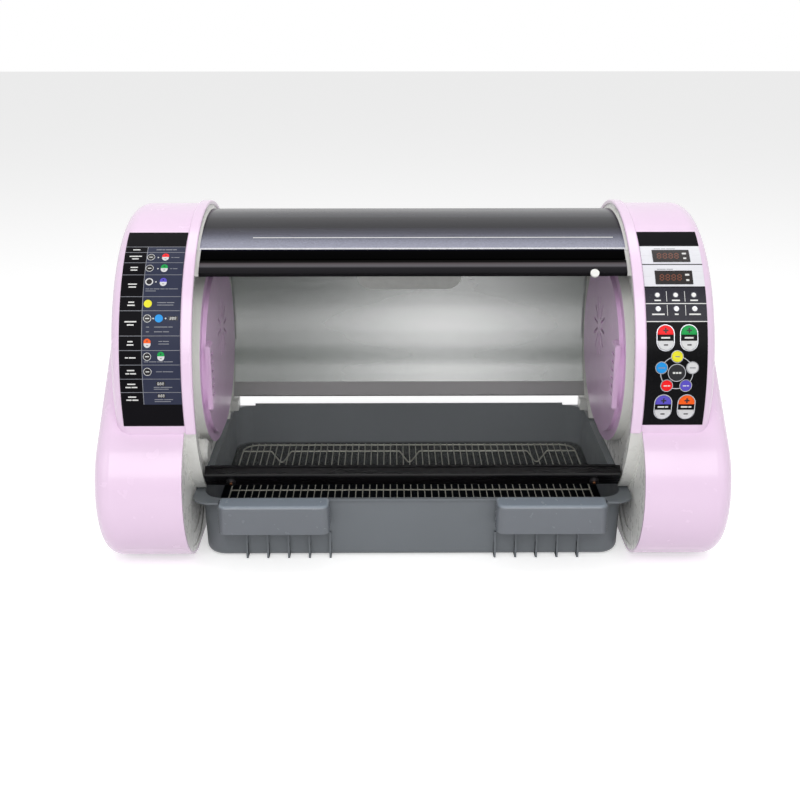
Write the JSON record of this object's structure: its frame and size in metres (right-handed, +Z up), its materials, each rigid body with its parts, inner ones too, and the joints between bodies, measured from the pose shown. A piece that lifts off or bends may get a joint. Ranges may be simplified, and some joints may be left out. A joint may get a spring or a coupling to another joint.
{
  "type": "veterinary incubator",
  "caption": "Veterinary incubator: clear drum chamber between two moulded end pods, sliding curved door, keypad, and a pull-out tray with a lift-out wire rack.",
  "frame": {"origin": "middle of the whole object's footprint, on the surface it stands on", "axes": "+X to the right of someone who faces the door, -Y out of the front towards them, +Z up"},
  "size_m": [0.88, 0.5088, 0.4865],
  "materials": {
    "shell_pink": "smooth moulded, glossy",
    "frame_white": "smooth moulded, satin",
    "plate_pink": "moulded, satin",
    "clear_film": "clear bent sheet",
    "rear_film": "clear bent sheet, slightly milky",
    "door_clear": "clear bent sheet",
    "rail_grey": "extruded, satin",
    "bar_black": "black, glossy",
    "runner_nylon": "nylon, satin",
    "knob_black": "black grip with a brass end",
    "lamp_diffuser": "milky diffuser",
    "circuit_green": "circuit board",
    "tray_grey": "moulded, satin",
    "handle_grey": "moulded, satin",
    "rack_wire": "coated wire",
    "panel_black": "printed overlay, glossy",
    "panel_print": "printed overlay, glossy",
    "display_dark": "smoked window over digits",
    "indicator_clear": "lamp lenses",
    "key_red": "soft key",
    "key_green": "soft key",
    "key_violet": "soft key",
    "key_orange": "soft key",
    "key_yellow": "soft key",
    "key_blue": "soft key",
    "key_white": "soft key",
    "key_silver": "soft key",
    "foot_rubber": "rubber",
    "fitting_black": "moulded black",
    "rocker_black": "moulded black",
    "tank_white": "moulded, translucent white",
    "cap_blue": "moulded blue",
    "cap_grey": "moulded grey",
    "spigot_brass": "turned, nickel plated",
    "fan_black": "moulded black",
    "fan_blade": "moulded black",
    "heater_aluminium": "pressed fins",
    "supply_steel": "pressed case"
  },
  "bodies": {
    "cabinet": {"left_outer_shell": "shell_pink", "right_outer_shell": "shell_pink", "left_inner_frame": "frame_white", "right_inner_frame": "frame_white", "left_chamber_plate": "plate_pink", "right_chamber_plate": "plate_pink", "left_sensor_housing": "plate_pink", "right_sensor_housing": "plate_pink", "chamber_port": "frame_white", "top_cover": "clear_film", "rear_window": "rear_film", "rear_bottom_rail": "rail_grey", "front_top_rail": "bar_black", "rail_plug": "frame_white", "lamp_cover": "lamp_diffuser", "lamp_board": "circuit_green", "keypad_panel": "panel_black", "chart_panel": "panel_print", "temperature_display": "display_dark", "humidity_display": "display_dark", "indicator_lights": "indicator_clear", "rubber_feet": "foot_rubber", "power_inlet": "fitting_black", "switch_frame": "fitting_black", "humidifier_tank": "tank_white", "nebuliser_tank": "tank_white", "oxygen_spigot": "spigot_brass", "fan_housing": "fan_black", "fan_motor": "fan_black", "heater": "heater_aluminium", "control_board": "circuit_green", "power_supply": "supply_steel"},
    "door": {"door_window": "door_clear", "left_door_runner": "runner_nylon", "right_door_runner": "runner_nylon", "door_handle_rail": "bar_black", "door_knobs": "knob_black"},
    "tray": {"tray": "tray_grey", "left_tray_handle": "handle_grey", "right_tray_handle": "handle_grey"},
    "rack": {"wire_rack": "rack_wire"},
    "impeller": {"fan_impeller": "fan_blade"},
    "rocker": {"power_switch": "rocker_black"},
    "humidifier_filler": {"humidifier_cap": "cap_blue"},
    "nebuliser_filler": {"nebuliser_cap": "cap_grey"},
    "temperature_up_key_body": {"temperature_up_key": "key_red"},
    "temperature_down_key_body": {"temperature_down_key": "key_white"},
    "humidity_up_key_body": {"humidity_up_key": "key_green"},
    "humidity_down_key_body": {"humidity_down_key": "key_white"},
    "mist_up_key_body": {"mist_up_key": "key_violet"},
    "mist_down_key_body": {"mist_down_key": "key_white"},
    "light_up_key_body": {"light_up_key": "key_orange"},
    "light_down_key_body": {"light_down_key": "key_white"},
    "centre_key_body": {"centre_key": "key_silver"},
    "yellow_key_body": {"yellow_key": "key_yellow"},
    "white_key_body": {"white_key": "key_white"},
    "violet_key_body": {"violet_key": "key_violet"},
    "red_key_body": {"red_key": "key_red"},
    "blue_key_body": {"blue_key": "key_blue"}
  },
  "joints": [
    {"name": "door_swing", "type": "hinge", "parent": "cabinet", "child": "door", "pos_m": [0, 0.01245, 0.257], "axis": [-1, 0, 0], "range_deg": [0, 77]},
    {"name": "tray_slide", "type": "slide", "parent": "cabinet", "child": "tray", "axis": [0, -1, 0], "range_m": [0, 0.33]},
    {"name": "rack_lift", "type": "slide", "parent": "tray", "child": "rack", "axis": [0, 0, 1], "range_m": [0, 0.045]},
    {"name": "fan_spin", "type": "hinge", "parent": "cabinet", "child": "impeller", "pos_m": [-0.34, 0.03245, 0.291], "axis": [1, 0, 0], "continuous": true},
    {"name": "switch_rock", "type": "hinge", "parent": "cabinet", "child": "rocker", "pos_m": [0.36, 0.23245, 0.165], "axis": [-1, 0, 0], "range_deg": [0, 16]},
    {"name": "humidifier_cap_turn", "type": "hinge", "parent": "cabinet", "child": "humidifier_filler", "pos_m": [-0.36, 0.24045, 0.11], "axis": [0, 1, 0], "range_deg": [0, 90]},
    {"name": "nebuliser_cap_turn", "type": "hinge", "parent": "cabinet", "child": "nebuliser_filler", "pos_m": [-0.36, 0.24045, 0.165], "axis": [0, 1, 0], "range_deg": [0, 90]},
    {"name": "temperature_up_press", "type": "slide", "parent": "cabinet", "child": "temperature_up_key_body", "axis": [0, 0.9282, -0.3722], "range_m": [0, 0.0008], "stiffness_N_per_m": 400},
    {"name": "temperature_down_press", "type": "slide", "parent": "cabinet", "child": "temperature_down_key_body", "axis": [0, 0.9282, -0.3722], "range_m": [0, 0.0008], "stiffness_N_per_m": 400},
    {"name": "humidity_up_press", "type": "slide", "parent": "cabinet", "child": "humidity_up_key_body", "axis": [0, 0.9282, -0.3722], "range_m": [0, 0.0008], "stiffness_N_per_m": 400},
    {"name": "humidity_down_press", "type": "slide", "parent": "cabinet", "child": "humidity_down_key_body", "axis": [0, 0.9282, -0.3722], "range_m": [0, 0.0008], "stiffness_N_per_m": 400},
    {"name": "mist_up_press", "type": "slide", "parent": "cabinet", "child": "mist_up_key_body", "axis": [0, 0.9991, 0.0434], "range_m": [0, 0.0008], "stiffness_N_per_m": 400},
    {"name": "mist_down_press", "type": "slide", "parent": "cabinet", "child": "mist_down_key_body", "axis": [0, 0.9991, 0.0434], "range_m": [0, 0.0008], "stiffness_N_per_m": 400},
    {"name": "light_up_press", "type": "slide", "parent": "cabinet", "child": "light_up_key_body", "axis": [0, 0.9991, 0.0434], "range_m": [0, 0.0008], "stiffness_N_per_m": 400},
    {"name": "light_down_press", "type": "slide", "parent": "cabinet", "child": "light_down_key_body", "axis": [0, 0.9991, 0.0434], "range_m": [0, 0.0008], "stiffness_N_per_m": 400},
    {"name": "centre_press", "type": "slide", "parent": "cabinet", "child": "centre_key_body", "axis": [0, 0.9854, -0.1703], "range_m": [0, 0.0008], "stiffness_N_per_m": 400},
    {"name": "yellow_press", "type": "slide", "parent": "cabinet", "child": "yellow_key_body", "axis": [0, 0.9641, -0.2655], "range_m": [0, 0.0008], "stiffness_N_per_m": 400},
    {"name": "white_press", "type": "slide", "parent": "cabinet", "child": "white_key_body", "axis": [0, 0.9798, -0.2], "range_m": [0, 0.0008], "stiffness_N_per_m": 400},
    {"name": "violet_press", "type": "slide", "parent": "cabinet", "child": "violet_key_body", "axis": [0, 0.9957, -0.0921], "range_m": [0, 0.0008], "stiffness_N_per_m": 400},
    {"name": "red_press", "type": "slide", "parent": "cabinet", "child": "red_key_body", "axis": [0, 0.9957, -0.0921], "range_m": [0, 0.0008], "stiffness_N_per_m": 400},
    {"name": "blue_press", "type": "slide", "parent": "cabinet", "child": "blue_key_body", "axis": [0, 0.9798, -0.2], "range_m": [0, 0.0008], "stiffness_N_per_m": 400}
  ]
}
